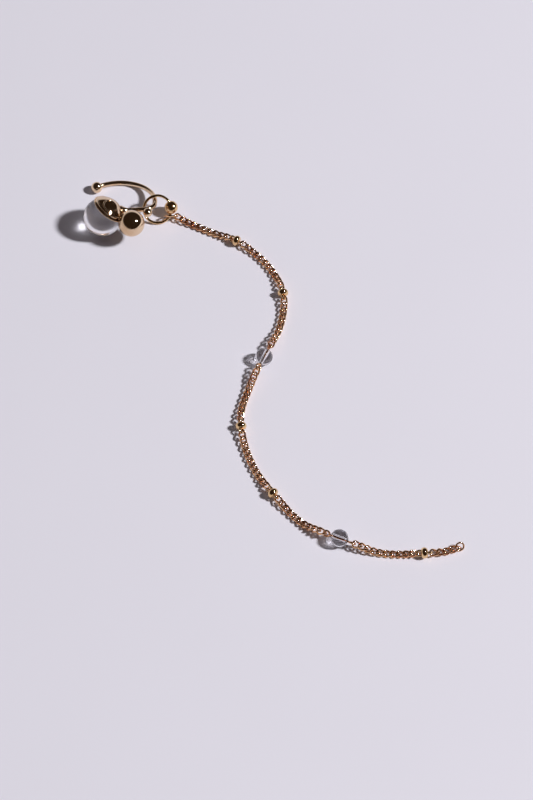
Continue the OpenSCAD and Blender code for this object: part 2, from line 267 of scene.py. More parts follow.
class Shape:
    """A mesh under construction, in millimetres, made with bmesh operators."""

    def __init__(self) -> None:
        """Starts an empty mesh."""
        self.bm = bmesh.new()

    def made_since(self, before: set[bmesh.types.BMVert]) -> list[bmesh.types.BMVert]:
        """Lists the vertices that aren't among earlier ones."""
        return [v for v in self.bm.verts if v not in before]

    def circle(self, r: float, sides: int, place: Matrix) -> tuple[list, list]:
        """Adds an open circle in a frame's XY plane; gives its vertices and edges."""
        verts = bmesh.ops.create_circle(
            self.bm, cap_ends=False, segments=sides, radius=r, matrix=place)["verts"]
        return verts, list(dict.fromkeys(e for v in verts for e in v.link_edges))

    def spin(self, geom: list, steps: int) -> None:
        """Spins an outline once round the local Z axis."""
        bmesh.ops.spin(
            self.bm, geom=geom, cent=(0, 0, 0), axis=(0, 0, 1), dvec=(0, 0, 0),
            angle=2 * pi, steps=steps, use_merge=True, use_duplicate=False)

    def ball(self, r: float, at: Vector, segments: int = 64) -> None:
        """Adds a round ball, by its radius, its middle and its faces round."""
        bmesh.ops.create_uvsphere(
            self.bm, u_segments=segments, v_segments=segments // 2, radius=r,
            matrix=Matrix.Translation(at))

    def ring(
        self, d: float, wire_d: float, place: Matrix, around: int = 64, sides: int = 20,
    ) -> None:
        """Adds a closed round ring of wire in the local XY plane.

        Args:
            d: Diameter on the wire's centre line.
            wire_d: Diameter of the wire.
            place: Frame of the ring.
            around: Steps round the ring.
            sides: Sides of the wire.
        """
        before = set(self.bm.verts)
        section = Matrix.Translation((d / 2, 0, 0)) @ turned(90, "X")
        verts, edges = self.circle(wire_d / 2, sides, section)
        self.spin(verts + edges, around)
        bmesh.ops.transform(self.bm, matrix=place, verts=self.made_since(before))

    def lathe(self, profile: list, place: Matrix, steps: int = 72) -> None:
        """Adds a turned form: an outline spun round the local Z axis.

        Args:
            profile: The outline's points, each its distance from the axis and its height.
            place: Frame of the turned form.
            steps: Steps round the axis.
        """
        before = set(self.bm.verts)
        verts = [self.bm.verts.new((r, 0, z)) for r, z in profile]
        edges = [self.bm.edges.new(pair) for pair in zip(verts, verts[1:])]
        self.spin(verts + edges, steps)
        bmesh.ops.remove_doubles(self.bm, verts=self.made_since(before), dist=MERGE_DIST)
        bmesh.ops.transform(self.bm, matrix=place, verts=self.made_since(before))

    def sweep(
        self, points: list[Vector], normals: list[Vector], radii: list[float],
        closed: bool = False, sides: int = 20,
    ) -> None:
        """Adds a round wire along a line, by extruding one circle from station to station.

        Args:
            points: The stations on the wire's centre line.
            normals: A direction at each station that the wire's section keeps.
            radii: The wire's radius at each station.
            closed: Whether the last station joins the first.
            sides: Sides of the wire.
        """
        places, count = [], len(points)
        for i, point in enumerate(points):
            after = points[(i + 1) % count] if closed or i < count - 1 else point
            prior = points[i - 1] if closed or i > 0 else point
            tangent = (after - prior).normalized()
            normal = (normals[i] - normals[i].dot(tangent) * tangent).normalized()
            place = basis(normal, tangent.cross(normal), tangent, point)
            places.append(place @ Matrix.Diagonal((radii[i], radii[i], radii[i], 1)))
        before = set(self.bm.verts)
        here = places[0]
        first_edges = edges = self.circle(1.0, sides, here)[1]
        for place in places[1:] + ([here] if closed else []):
            new = bmesh.ops.extrude_edge_only(self.bm, edges=edges)["geom"]
            verts = [g for g in new if isinstance(g, bmesh.types.BMVert)]
            bmesh.ops.transform(self.bm, matrix=place @ here.inverted(), verts=verts)
            fresh = set(verts)
            edges = [
                g for g in new
                if isinstance(g, bmesh.types.BMEdge) and fresh.issuperset(g.verts)]
            here = place
        if closed:
            made = self.made_since(before)
            bmesh.ops.remove_doubles(self.bm, verts=made, dist=MERGE_DIST)
        else:
            for end in (first_edges, edges):
                bmesh.ops.edgeloop_fill(self.bm, edges=end)

    def clear_ball(self, at: Vector, r: float) -> None:
        """Moves what reaches into a ball out to the ball's surface.

        Args:
            at: The ball's middle.
            r: The ball's radius.
        """
        for vert in self.bm.verts:
            away = vert.co - at
            if away.length < r:
                vert.co = at + away.normalized() * r

    def copy_in(self, mesh: Mesh, place: Matrix) -> None:
        """Adds a placed copy of a finished mesh.

        Args:
            mesh: The mesh to copy, in millimetres.
            place: Where the copy goes.
        """
        before = set(self.bm.verts)
        self.bm.from_mesh(mesh)
        bmesh.ops.transform(self.bm, matrix=place, verts=self.made_since(before))

    def to_mesh(self, name: str, scale: float = MM) -> Mesh:
        """Turns the construction into a smooth-shaded mesh.

        Args:
            name: The mesh's name.
            scale: Factor from the construction's unit to the mesh's.

        Returns:
            The mesh.
        """
        bmesh.ops.recalc_face_normals(self.bm, faces=self.bm.faces)
        bmesh.ops.scale(self.bm, vec=(scale,) * 3, verts=self.bm.verts)
        for face in self.bm.faces:
            face.smooth = True
        mesh = bpy.data.meshes.new(name)
        self.bm.to_mesh(mesh)
        self.bm.free()
        mesh.set_sharp_from_angle(angle=radians(SHARP_ANGLE))
        return mesh


def stand(name: str, data: bpy.types.ID) -> Object:
    """Puts an object with the given mesh, lens or light into the scene."""
    bpy.context.scene.collection.objects.link(made := bpy.data.objects.new(name, data))
    return made


class Piece:
    """One named piece of the earring, which stands for a CAD node."""

    node: str
    look: str = "polished"
    slot: Slot = Slot.GOLD

    def __init__(self, line: object = None, part: str = "") -> None:
        """Names the piece after its node.

        Args:
            line: The hook's or the chain's line, where the piece stands on one.
            part: The end of the node's name, where a class makes several pieces.
        """
        self.line = line
        self.name = f"{self.node}{part}_{self.look}"
        self.nodes = (self.node + part,)
        self.shape = Shape()

    def form(self) -> None:
        """Shapes the piece in its construction."""
        raise NotImplementedError

    def build(self, material: Material) -> None:
        """Makes the piece, with its finish and its ties to the CAD model.

        Args:
            material: The finish.
        """
        self.form()
        mesh = self.shape.to_mesh(self.name)
        mesh.materials.append(material)
        piece = stand(self.name, mesh)
        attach(piece, BODY)
        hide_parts(*self.nodes)
        LOG.info("%s: %d faces", self.name, len(mesh.polygons))


# ---- Finishes ----


class NodeSheet:
    """A small writer for one node tree."""

    def __init__(self, tree: NodeTree) -> None:
        """Takes the node tree of a material, a world or a group."""
        self.tree = tree
        self.shader = tree.nodes.get("Principled BSDF")

    def add(
        self, kind: str, sockets: dict[str | int, object] | None = None, **values: object,
    ) -> Node:
        """Adds a node, and sets its properties and then its inputs.

        Args:
            kind: The node's type.
            sockets: Values of inputs by name or number.
            values: Properties of the node by name.

        Returns:
            The node.
        """
        node = self.tree.nodes.new(kind)
        for key, value in values.items():
            setattr(node, key, value)
        for key, value in (sockets or {}).items():
            node.inputs[key].default_value = value
        return node

    def blend(self, a: Colour, b: Colour) -> Node:
        """Adds a mix of two colours."""
        return self.add("ShaderNodeMix", {"A": (*a, 1), "B": (*b, 1)}, data_type="RGBA")

    def join(self, source: Node, out: str, target: Node, into: str | int) -> None:
        """Links an output of one node to an input of another."""
        self.tree.links.new(source.outputs[out], target.inputs[into])


class HandlingWear:
    """The faint marks that polished metal and glass get from handling, as a shared group.

    Each noise has its name, its scale per metre, its detail and its roughness.
    """

    NAME = "handling_wear"
    NOISES = (
        ("Smudge", 300.0, 3.0, 0.5),
        ("Grain", 2500.0, 5.0, 0.65),
        ("Wave", 900.0, 1.0, 0.5),
    )
    SMUDGE_RANGE = (0.42, 0.72)
    GRAIN_SHARE = 0.12

    def group(self) -> NodeTree:
        """Makes the group once, and then returns it.

        Returns:
            The group, with smudges and the height of small unevenness.
        """
        known = bpy.data.node_groups.get(self.NAME)
        if known:
            return known
        tree = bpy.data.node_groups.new(self.NAME, "ShaderNodeTree")
        new_socket = partial(tree.interface.new_socket, socket_type="NodeSocketFloat")
        for name, scale, _, _ in self.NOISES:
            new_socket(f"{name} scale", in_out="INPUT").default_value = scale
        for name in ("Smudge", "Height"):
            new_socket(name, in_out="OUTPUT")
        sheet = NodeSheet(tree)
        source = sheet.add("NodeGroupInput")
        result = sheet.add("NodeGroupOutput")
        where = sheet.add("ShaderNodeTexCoord")
        noises = []
        for name, _, detail, rough in self.NOISES:
            node = sheet.add("ShaderNodeTexNoise", {"Detail": detail, "Roughness": rough})
            sheet.join(where, "Object", node, "Vector")
            sheet.join(source, f"{name} scale", node, "Scale")
            noises.append(node)
        smudge, grain, wave = noises
        low, high = self.SMUDGE_RANGE
        soft = sheet.add("ShaderNodeMapRange", {"From Min": low, "From Max": high})
        total = sheet.add(
            "ShaderNodeMath", {1: self.GRAIN_SHARE}, operation="MULTIPLY_ADD")
        sheet.join(smudge, "Fac", soft, "Value")
        sheet.join(grain, "Fac", total, 0)
        sheet.join(wave, "Fac", total, 2)
        sheet.join(soft, "Result", result, "Smudge")
        sheet.join(total, "Value", result, "Height")
        return tree


@dataclass(frozen=True)
class PolishedFinish:
    """A polished finish: its colour, its gloss from clean to smudged, its unevenness."""

    name: str
    plain: Colour = (0.83, 0.63, 0.43)
    smooth: float = 0.05
    rough: float = 0.16
    uneven_mm: float = 0.012
    wave_scale: float = 700.0
    bump: float = 0.35
    shown_alpha: float = 1.0

    def worn(self) -> tuple[Material, NodeSheet, Node]:
        """Starts the material with what every polished finish has.

        Returns:
            The material, its node sheet and its wear.
        """
        material = bpy.data.materials.new(self.name)
        material.use_nodes = True
        material.diffuse_color = (*self.plain, self.shown_alpha)
        sheet = NodeSheet(material.node_tree)
        wear = sheet.add(
            "ShaderNodeGroup", {"Wave scale": self.wave_scale},
            node_tree=HandlingWear().group())
        gloss = sheet.add(
            "ShaderNodeMapRange", {"To Min": self.smooth, "To Max": self.rough})
        bump = sheet.add(
            "ShaderNodeBump", {"Strength": self.bump, "Distance": self.uneven_mm * MM})
        sheet.join(wear, "Smudge", gloss, "Value")
        sheet.join(gloss, "Result", sheet.shader, "Roughness")
        sheet.join(wear, "Height", bump, "Height")
        sheet.join(bump, "Normal", sheet.shader, "Normal")
        return material, sheet, wear


@dataclass(frozen=True)
class GoldFinish(PolishedFinish):
    """Polished gold plate, deeper in colour where it is smudged."""

    deep: Colour = (0.72, 0.49, 0.30)

    def build(self) -> Material:
        """Makes the material.

        Returns:
            The material.
        """
        material, sheet, wear = self.worn()
        sheet.shader.inputs["Metallic"].default_value = 1.0
        tint = sheet.blend(self.plain, self.deep)
        sheet.join(wear, "Smudge", tint, "Factor")
        sheet.join(tint, "Result", sheet.shader, "Base Color")
        return material


@dataclass(frozen=True)
class GlassFinish(PolishedFinish):
    """Clear polished glass, with faint waves and smudges."""

    plain: Colour = (0.97, 0.96, 0.98)
    smooth: float = 0.0
    rough: float = 0.03
    uneven_mm: float = 0.004
    wave_scale: float = 350.0
    bump: float = 0.2
    shown_alpha: float = 0.3
    ior: float = 1.55

    def build(self) -> Material:
        """Makes the material.

        Returns:
            The material.
        """
        material, sheet, _ = self.worn()
        inputs = sheet.shader.inputs
        inputs["Base Color"].default_value = (*self.plain, 1)
        inputs["Metallic"].default_value = 0.0
        inputs["Transmission Weight"].default_value = 1.0
        inputs["IOR"].default_value = self.ior
        return material


@dataclass(frozen=True)
class SurfaceFinish:
    """The pale matt surface that the earring lies on, with faint clouds."""

    name: str = "pale_surface"
    colour: Colour = (0.735, 0.73, 0.84)
    cloud_shade: float = 0.97
    cloud_scale: float = 22.0
    rough: float = 0.7

    def build(self) -> Material:
        """Makes the material.

        Returns:
            The material.
        """
        material = bpy.data.materials.new(self.name)
        material.use_nodes = True
        sheet = NodeSheet(material.node_tree)
        sheet.shader.inputs["Roughness"].default_value = self.rough
        where = sheet.add("ShaderNodeTexCoord")
        cloud = sheet.add(
            "ShaderNodeTexNoise", {"Scale": self.cloud_scale, "Detail": 4.0})
        darker = tuple(c * self.cloud_shade for c in self.colour)
        tint = sheet.blend(self.colour, darker)
        sheet.join(where, "Object", cloud, "Vector")
        sheet.join(cloud, "Fac", tint, "Factor")
        sheet.join(tint, "Result", sheet.shader, "Base Color")
        return material


class Finishes:
    """Every material of the scene."""

    def __init__(self) -> None:
        """Makes the materials."""
        self.ball_gold = GoldFinish("polished_gold").build()
        self.ring_gold = GoldFinish(
            "ring_gold", plain=(0.87, 0.62, 0.34), deep=(0.70, 0.44, 0.22)).build()
        self.chain_gold = GoldFinish(
            "chain_gold", plain=(0.95, 0.60, 0.33), deep=(0.56, 0.21, 0.10),
            smooth=0.035, rough=0.12, wave_scale=1800.0).build()
        self.glass = GlassFinish("clear_glass").build()
        self.surface = SurfaceFinish().build()


# ---- The front: hook, balls and rings ----


class HookLine:
    """The line of the ear hook's wire, and what stands along it."""

    hook, cup = HookSizes(), CupSizes()
    LOOP_STEPS, CORNER_STEPS, BAR_STEPS = 96, 32, 48
    FLARE_CURVE = 1.7
    WALL_SHARE = 0.25
    TIP_STEPS, TIP_STEP_L, TIP_TAPER = 5, 0.01, 5.2

    def __init__(self) -> None:
        """Works out the points that the other front pieces share."""
        hook, cup = self.hook, self.cup
        self.lean = turned(-hook.lean, "X")
        self.corner_centre = flat(hook.loop_r - hook.corner_r, hook.corner_angle)
        self.corner_end = hook.bar_slope - 90
        self.bar_start = self.lean @ (
            self.corner_centre + flat(hook.corner_r, self.corner_end))
        self.bar_axis = self.lean @ flat(1, 180 + hook.bar_slope)
        glass_r = cup.glass_d / 2
        self.glass_at = Vector((
            self.bar_start.x - cup.left_of_corner, -glass_r - cup.front_gap,
            hook.table_z + glass_r))
        to_glass = self.glass_at - self.bar_start
        nearest = to_glass.dot(self.bar_axis)
        miss = (to_glass - nearest * self.bar_axis).length
        in_wall_r = cup.outer_r - cup.wall * self.WALL_SHARE
        self.bar_l = nearest - sqrt(in_wall_r ** 2 - miss ** 2)
        out = glass_r + hook.gold_ball_d / 2 + cup.seat_gap
        self.gold_at = self.glass_at + out * polar(hook.gold_ball_turn, hook.gold_ball_rise)
        foot = (self.gold_at - self.bar_start).dot(self.bar_axis)
        self.post_foot = self.bar_start + foot * self.bar_axis

    def stations(self) -> tuple[list[Vector], list[float]]:
        """The wire's centre line from its back end to the cup, with its radius.

        Returns:
            The points and the radii.
        """
        hook, cup = self.hook, self.cup
        points = [
            self.lean @ flat(hook.loop_r, angle)
            for angle in evenly(hook.back_angle, hook.corner_angle, self.LOOP_STEPS)]
        points += [
            self.lean @ (self.corner_centre + flat(hook.corner_r, angle))
            for angle in evenly(hook.corner_angle, self.corner_end, self.CORNER_STEPS)[1:]]
        radii = [hook.wire_d / 2] * len(points)
        end = self.bar_l + cup.neck_sink
        flare_start = self.bar_l - cup.neck_l
        flare = (cup.neck_d - hook.wire_d) / 2
        for run in evenly(0.0, end, self.BAR_STEPS)[1:]:
            share = min(1.0, max(0.0, (run - flare_start) / cup.neck_l))
            points.append(self.bar_start + run * self.bar_axis)
            radii.append(hook.wire_d / 2 + flare * share ** self.FLARE_CURVE)
        wide = radii[-1]
        for k in range(1, self.TIP_STEPS + 1):
            points.append(self.bar_start + (end + self.TIP_STEP_L * k) * self.bar_axis)
            radii.append(wide * (1 - k / self.TIP_TAPER))
        return points, radii


class EarHook(Piece):
    """The soldered hook: wire, balls, neck and cup, fused into one piece."""

    node = "ear_hook"
    DOME_STEPS, RIDGE_STEPS, FLANGE_STEPS, RIM_STEPS, HOLLOW_STEPS = 24, 14, 8, 12, 20
    RIDGE_ARC, RIM_ARC = (-50.0, 100.0), (110.0, -90.0)
    DOME_SHORT, FLANGE_LATE, FLANGE_SHORT = 1.2, 1.3, 0.8
    POST_STEPS, COLLAR_STEPS = 10, 8
    NECK_INTO_WALL = 0.3
    COLLAR_START, COLLAR_L = 0.80, 0.34
    COLLAR_R, COLLAR_FLARE, COLLAR_CURVE = 0.47, 0.24, 2.2

    @staticmethod
    def cup_point(r: float, angle: float) -> Vector:
        """A point of the cup's outline, from its radius and its angle off the axis."""
        return Vector((r * sin(radians(angle)), r * cos(radians(angle))))

    def cup_profile(self) -> list[Vector]:
        """The cup's outline, from the middle of its outside round its rim to its inside.

        Returns:
            The outline's points, each its distance from the axis and its height.
        """
        cup, point = self.line.cup, self.cup_point
        ridge_turn = degrees(cup.ridge_d / 2 / cup.outer_r)
        rim_centre_r = cup.inner_r + cup.rim_d / 2
        rim_turn = degrees(cup.rim_d / 2 / rim_centre_r)
        dome_end = cup.dome_reach - self.DOME_SHORT * ridge_turn
        flange_start = cup.dome_reach + self.FLANGE_LATE * ridge_turn
        flange_end = cup.reach - self.FLANGE_SHORT * rim_turn
        outline = [
            point(cup.outer_r + cup.dome_rise, a)
            for a in evenly(0.0, dome_end, self.DOME_STEPS)]
        for way in map(radians, evenly(*self.RIDGE_ARC, self.RIDGE_STEPS)):
            outline.append(point(
                cup.outer_r + cup.ridge_d / 2 * cos(way),
                cup.dome_reach + ridge_turn * sin(way)))
        outline += [
            point(cup.outer_r - cup.flange_sink, a)
            for a in evenly(flange_start, flange_end, self.FLANGE_STEPS)]
        outward = point(1.0, cup.reach)
        along = Vector((outward.y, -outward.x))
        for way in map(radians, evenly(*self.RIM_ARC, self.RIM_STEPS)):
            outline.append(
                rim_centre_r * outward
                + cup.rim_d / 2 * (cos(way) * along + sin(way) * outward))
        outline += [
            point(cup.inner_r, a)
            for a in evenly(cup.reach, 0.0, self.HOLLOW_STEPS)[1:]]
        outline[0].x = outline[-1].x = 0.0
        return outline

    def collar(self, at: Vector, way: Vector, ball_r: float) -> None:
        """Adds the small fillet of solder where a wire enters a ball.

        Args:
            at: The ball's middle.
            way: The direction in which the wire leaves the ball.
            ball_r: The ball's radius.
        """
        profile = [
            (self.COLLAR_R + self.COLLAR_FLARE * (1 - share) ** self.COLLAR_CURVE,
             ball_r * self.COLLAR_START + ball_r * self.COLLAR_L * share)
            for share in evenly(0.0, 1.0, self.COLLAR_STEPS)]
        self.shape.lathe(profile, facing(way.normalized(), at), steps=40)

    def form(self) -> None:
        """Shapes the wire, the balls, the gold ball's post, the cup and its eye ring."""
        line, shape, hook, cup = self.line, self.shape, self.line.hook, self.line.cup
        points, radii = line.stations()
        up = line.lean @ Vector((0, 0, 1))
        shape.sweep(points, [up] * len(points), radii, sides=28)
        shape.clear_ball(line.glass_at, cup.inner_r + self.NECK_INTO_WALL * cup.wall)
        back_ball_r, corner_ball_r = hook.back_ball_d / 2, hook.corner_ball_d / 2
        shape.ball(back_ball_r, points[0])
        corner_out = hook.corner_r + hook.wire_d / 2 + corner_ball_r - hook.solder_sink
        corner_at = line.lean @ (
            line.corner_centre + flat(corner_out, hook.corner_ball_angle))
        shape.ball(corner_ball_r, corner_at)
        shape.ball(hook.gold_ball_d / 2, line.gold_at, segments=96)
        self.collar(points[0], points[1] - points[0], back_ball_r)
        inward = line.lean @ line.corner_centre - corner_at
        self.collar(corner_at, inward, corner_ball_r)
        post = line.gold_at - line.post_foot
        stations = [line.post_foot + post * k for k in evenly(0.0, 1.0, self.POST_STEPS)]
        swell = [
            hook.post_d / 2 * (1 + hook.post_swell * k ** 4)
            for k in evenly(-1.0, 1.0, self.POST_STEPS)]
        shape.sweep(stations, [up] * len(stations), swell)
        cup_place = facing(polar(cup.turn, cup.rise), line.glass_at)
        shape.lathe(self.cup_profile(), cup_place, steps=96)
        eye = polar(cup.eye_turn, cup.eye_rise)
        eye_h = sqrt((cup.outer_r + cup.dome_rise) ** 2 - (cup.eye_d / 2) ** 2)
        eye_place = facing(eye, line.glass_at + eye_h * eye)
        shape.ring(cup.eye_d, cup.eye_wire_d, eye_place, around=72)


class GlassBall(Piece):
    """The clear ball in the cup."""

    node, look, slot = "glass_ball", "clear", Slot.GLASS

    def form(self) -> None:
        """Shapes the ball."""
        self.shape.ball(self.line.cup.glass_d / 2, self.line.glass_at, segments=128)


class HoopRing(Piece):
    """The ring that hangs on the hook, with its soldered ball."""

    node = "hoop_ring"
    rings = RingSizes()

    def __init__(self, hook: HookSizes) -> None:
        """Places the ring.

        Args:
            hook: The hook's sizes.
        """
        super().__init__()
        rings = self.rings
        turn, lean = radians(rings.ring_turn), radians(rings.ring_lean)
        self.across = Vector((cos(turn), sin(turn), 0))
        self.up = Vector((-sin(turn) * cos(lean), cos(turn) * cos(lean), sin(lean)))
        ring_r, wire_r = rings.ring_d / 2, rings.ring_wire_d / 2
        out = ring_r - wire_r - hook.wire_d / 2
        self.at = Vector((
            hook.loop_r + rings.hang_right * out, rings.hang_back * out,
            hook.table_z + ring_r * sin(lean) + wire_r))

    def on_ring(self, angle: float) -> Vector:
        """A point on the ring's centre line, from its angle in degrees."""
        way = flat(self.rings.ring_d / 2, angle)
        return self.at + way.x * self.across + way.y * self.up

    def form(self) -> None:
        """Shapes the ring and its ball."""
        rings, shape = self.rings, self.shape
        place = basis(self.across, self.up, self.across.cross(self.up), self.at)
        shape.ring(rings.ring_d, rings.ring_wire_d, place, around=128, sides=24)
        shape.ball(rings.ring_ball_d / 2, self.on_ring(0))


class JumpRing(Piece):
    """The small ring between the hoop ring and the chain, with its cut."""

    node = "jump_ring"
    CUT_AT, CUT_HALF = 62.0, 1.2
    STEPS = 72
    END_SHARE, END_STEPS = 0.86, 1.5

    def __init__(self, hook: HookSizes, hoop: HoopRing) -> None:
        """Places the ring.

        Args:
            hook: The hook's sizes.
            hoop: The ring that it hangs on.
        """
        super().__init__()
        self.rings = rings = hoop.rings
        hang = hoop.on_ring(rings.jump_place)
        r, wire_r = rings.jump_d / 2, rings.jump_wire_d / 2
        self.middle_h = r * sin(radians(rings.jump_lean)) + wire_r
        slack = rings.jump_slack * rings.link_gap
        self.at = Vector((
            hang.x + r - wire_r - rings.ring_wire_d / 2 - slack, hang.y,
            hook.table_z + self.middle_h))

    def form(self) -> None:
        """Shapes a wire bent round, whose two ends stand face to face."""
        rings, shape = self.rings, self.shape
        place = Matrix.Translation(self.at) @ turned(rings.jump_lean, "X")
        start = self.CUT_AT + self.CUT_HALF
        points, normals, radii = [], [], []
        angles = evenly(start, start + 360 - 2 * self.CUT_HALF, self.STEPS)
        for k, angle in enumerate(angles):
            way = flat(1, angle)
            points.append(place @ (way * rings.jump_d / 2))
            normals.append(place.to_3x3() @ way)
            ease = min(1.0, min(k, self.STEPS - k) / self.END_STEPS)
            share = self.END_SHARE + (1 - self.END_SHARE) * ease
            radii.append(rings.jump_wire_d / 2 * share)
        shape.sweep(points, normals, radii)


# ---- The chain ----


@dataclass(frozen=True)
class Lift:
    """A place where something thicker than a link carries the chain higher.

    The chain runs level round it and comes down over a ramp on each side.
    """

    at: float
    height: float
    level: float
    ramp: float

    def share(self, s: float) -> float:
        """How much of the lift, from 0 to 1, the line has at a distance along it."""
        down = (abs(s - self.at) - self.level) / self.ramp
        return (1 + cos(pi * min(1.0, max(0.0, down)))) / 2


class ChainLine:
    """The chain's line in space, and where each link and bead stands on it."""

    sizes = ChainSizes()
    CURVE_STEPS = 10
    REST_ARC_STEPS = 5

    def __init__(self, jump: JumpRing, table_z: float) -> None:
        """Works out the line.

        Args:
            jump: The ring that the first link hangs on.
            table_z: The surface's height.
        """
        c, rings = self.sizes, jump.rings
        slack = rings.first_link_slack * rings.link_gap
        out = rings.jump_d / 2 - rings.jump_wire_d / 2 - c.wire_r - slack
        start = jump.at + Vector((out, rings.first_link_back, 0))
        drawn = self.smooth_route()
        flat_l = self.bead_flat_at(len(c.beads) - 1) + c.tail_l
        grown = flat_l / self.run_lengths(drawn)[-1]
        self.flat_line = [p * grown for p in drawn]
        self.flat_run = self.run_lengths(self.flat_line)
        self.rest_h = c.wire_r + max(abs(p.z) for p in link_line(c, self.REST_ARC_STEPS))
        end_h = c.end_ring_d / 2 * sin(radians(c.end_ring_tilt)) + c.end_ring_wire_d / 2
        pin_foot = c.glass_bead_d / 2 + c.pin_spare
        self.pin_loop_at = pin_foot + (c.pin_wire_d + c.pin_loop_d) / 2
        self.pin_half = pin_foot + c.pin_wire_d / 2 + c.pin_loop_d
        self.lifts = [
            Lift(0.0, jump.middle_h, c.wire_d, c.end_ramp),
            Lift(self.flat_run[-1], end_h, c.end_ring_d / 2, c.end_ramp)]
        for i, kind in enumerate(c.beads):
            high, level, ramp = (
                (c.gold_bead_d / 2, c.gold_bead_w, c.gold_bead_ramp)
                if kind is BeadKind.GOLD
                else (c.glass_bead_d / 2, self.pin_half, c.glass_bead_ramp))
            self.lifts.append(Lift(self.bead_flat_at(i), high, level + c.level_spare, ramp))
        self.line = [
            Vector((start.x + p.x, start.y + p.y, table_z + self.carried_h(s)))
            for p, s in zip(self.flat_line, self.flat_run)]
        self.run = self.run_lengths(self.line)
        self.length = self.run[-1]
        self.gold_reach = (
            c.gold_bead_w / 2 + c.gold_bead_slack * c.gap + c.wire_r + c.half)
        self.gold_eye_at = (
            self.gold_reach - c.half + c.wire_d + c.gold_eye_slack * c.gap - c.link_w / 2)
        self.glass_reach = (
            self.pin_loop_at + c.pin_loop_d / 2 - c.pin_wire_d / 2 - c.wire_r
            - c.pin_slack * c.gap + c.half)
        self.end_reach = (
            c.half - c.wire_r - c.end_slack * c.gap - c.end_ring_wire_d / 2
            + c.end_ring_d / 2)

    def smooth_route(self) -> list[Vector]:
        """The smooth curve through the route's points.

        Returns:
            Its points.
        """
        points = [Vector((x, y, 0)) for x, y in self.sizes.route]
        points = [2 * points[0] - points[1], *points, 2 * points[-1] - points[-2]]
        line = []
        for a, b, c, d in zip(points, points[1:], points[2:], points[3:]):
            for t in evenly(0.0, 1.0, self.CURVE_STEPS)[:-1]:
                line.append(0.5 * (
                    2 * b + (c - a) * t + (2 * a - 5 * b + 4 * c - d) * t * t
                    + (3 * b - a - 3 * c + d) * t * t * t))
        line.append(points[-2])
        return line

    @staticmethod
    def run_lengths(line: list[Vector]) -> list[float]:
        """The length run at each point of a line."""
        return [0.0, *accumulate((b - a).length for a, b in zip(line, line[1:]))]

    def bead_flat_at(self, i: int) -> float:
        """How far along the surface bead i stands, counted from 0."""
        return self.sizes.first_bead_at + i * self.sizes.bead_spacing

    def carried_h(self, s: float) -> float:
        """How high the chain's line runs above the surface, at a distance along it."""
        lifted = [(lift.height - self.rest_h) * lift.share(s) for lift in self.lifts]
        return self.rest_h + max(0.0, *lifted)

    @staticmethod
    def between(at: float, keys: list[float], values: list) -> object:
        """A value looked up between two keys.

        Args:
            at: The key that is asked for.
            keys: Rising keys.
            values: A value for each key.

        Returns:
            The value.
        """
        i = min(max(bisect_left(keys, at), 1), len(keys) - 1)
        share = (at - keys[i - 1]) / (keys[i] - keys[i - 1])
        return values[i - 1] + (values[i] - values[i - 1]) * min(1.0, max(0.0, share))

    def bead_at(self, i: int) -> float:
        """The length run along the line at bead i."""
        return self.between(self.bead_flat_at(i), self.flat_run, self.run)

    def spanning(self, at: float, half: float) -> Matrix:
        """The frame of a piece that spans the line round a place.

        Args:
            at: Length run at the piece's middle.
            half: Half the piece's length.

        Returns:
            The frame, with X along the line.
        """
        a, b = (self.between(end, self.run, self.line) for end in (at - half, at + half))
        x = (b - a).normalized()
        y = Vector((-x.y, x.x, 0)).normalized()
        return basis(x, y, x.cross(y), (a + b) / 2)

    def reach(self, kind: BeadKind) -> float:
        """From the middle of a bead of a kind to the middle of the link next to it."""
        return self.gold_reach if kind is BeadKind.GOLD else self.glass_reach

    def stretch(self, i: int) -> list[Matrix]:
        """The frames of the plain links before bead i, or after the last bead.

        Args:
            i: The stretch's number, from 0.

        Returns:
            A frame for each link.
        """
        c = self.sizes
        first = c.half if i == 0 else self.bead_at(i - 1) + self.reach(c.beads[i - 1])
        last = (
            self.length - self.end_reach if i == len(c.beads)
            else self.bead_at(i) - self.reach(c.beads[i]))
        steps = int((last - first) / c.pitch + 0.5)
        return [self.spanning(at, c.half) for at in evenly(first, last, steps)]


def link_turn(c: ChainSizes, x: float) -> float:
    """How far a link is twisted at a place along it, in radians."""
    return radians(-c.twist * x / c.half)


def link_line(c: ChainSizes, arc_steps: int) -> list[Vector]:
    """A link's twisted centre line.

    Args:
        c: The chain's sizes.
        arc_steps: Steps round each end.

    Returns:
        Its points, in order round the link.
    """
    points = []
    end_r = c.link_w / 2
    for side in (1, -1):
        for angle in evenly(-90.0, 90.0, arc_steps):
            arc = flat(end_r, angle)
            x, y = side * (c.half - end_r + arc.x), side * arc.y
            turn = link_turn(c, x)
            points.append(Vector((x, y * cos(turn), y * sin(turn))))
    return points


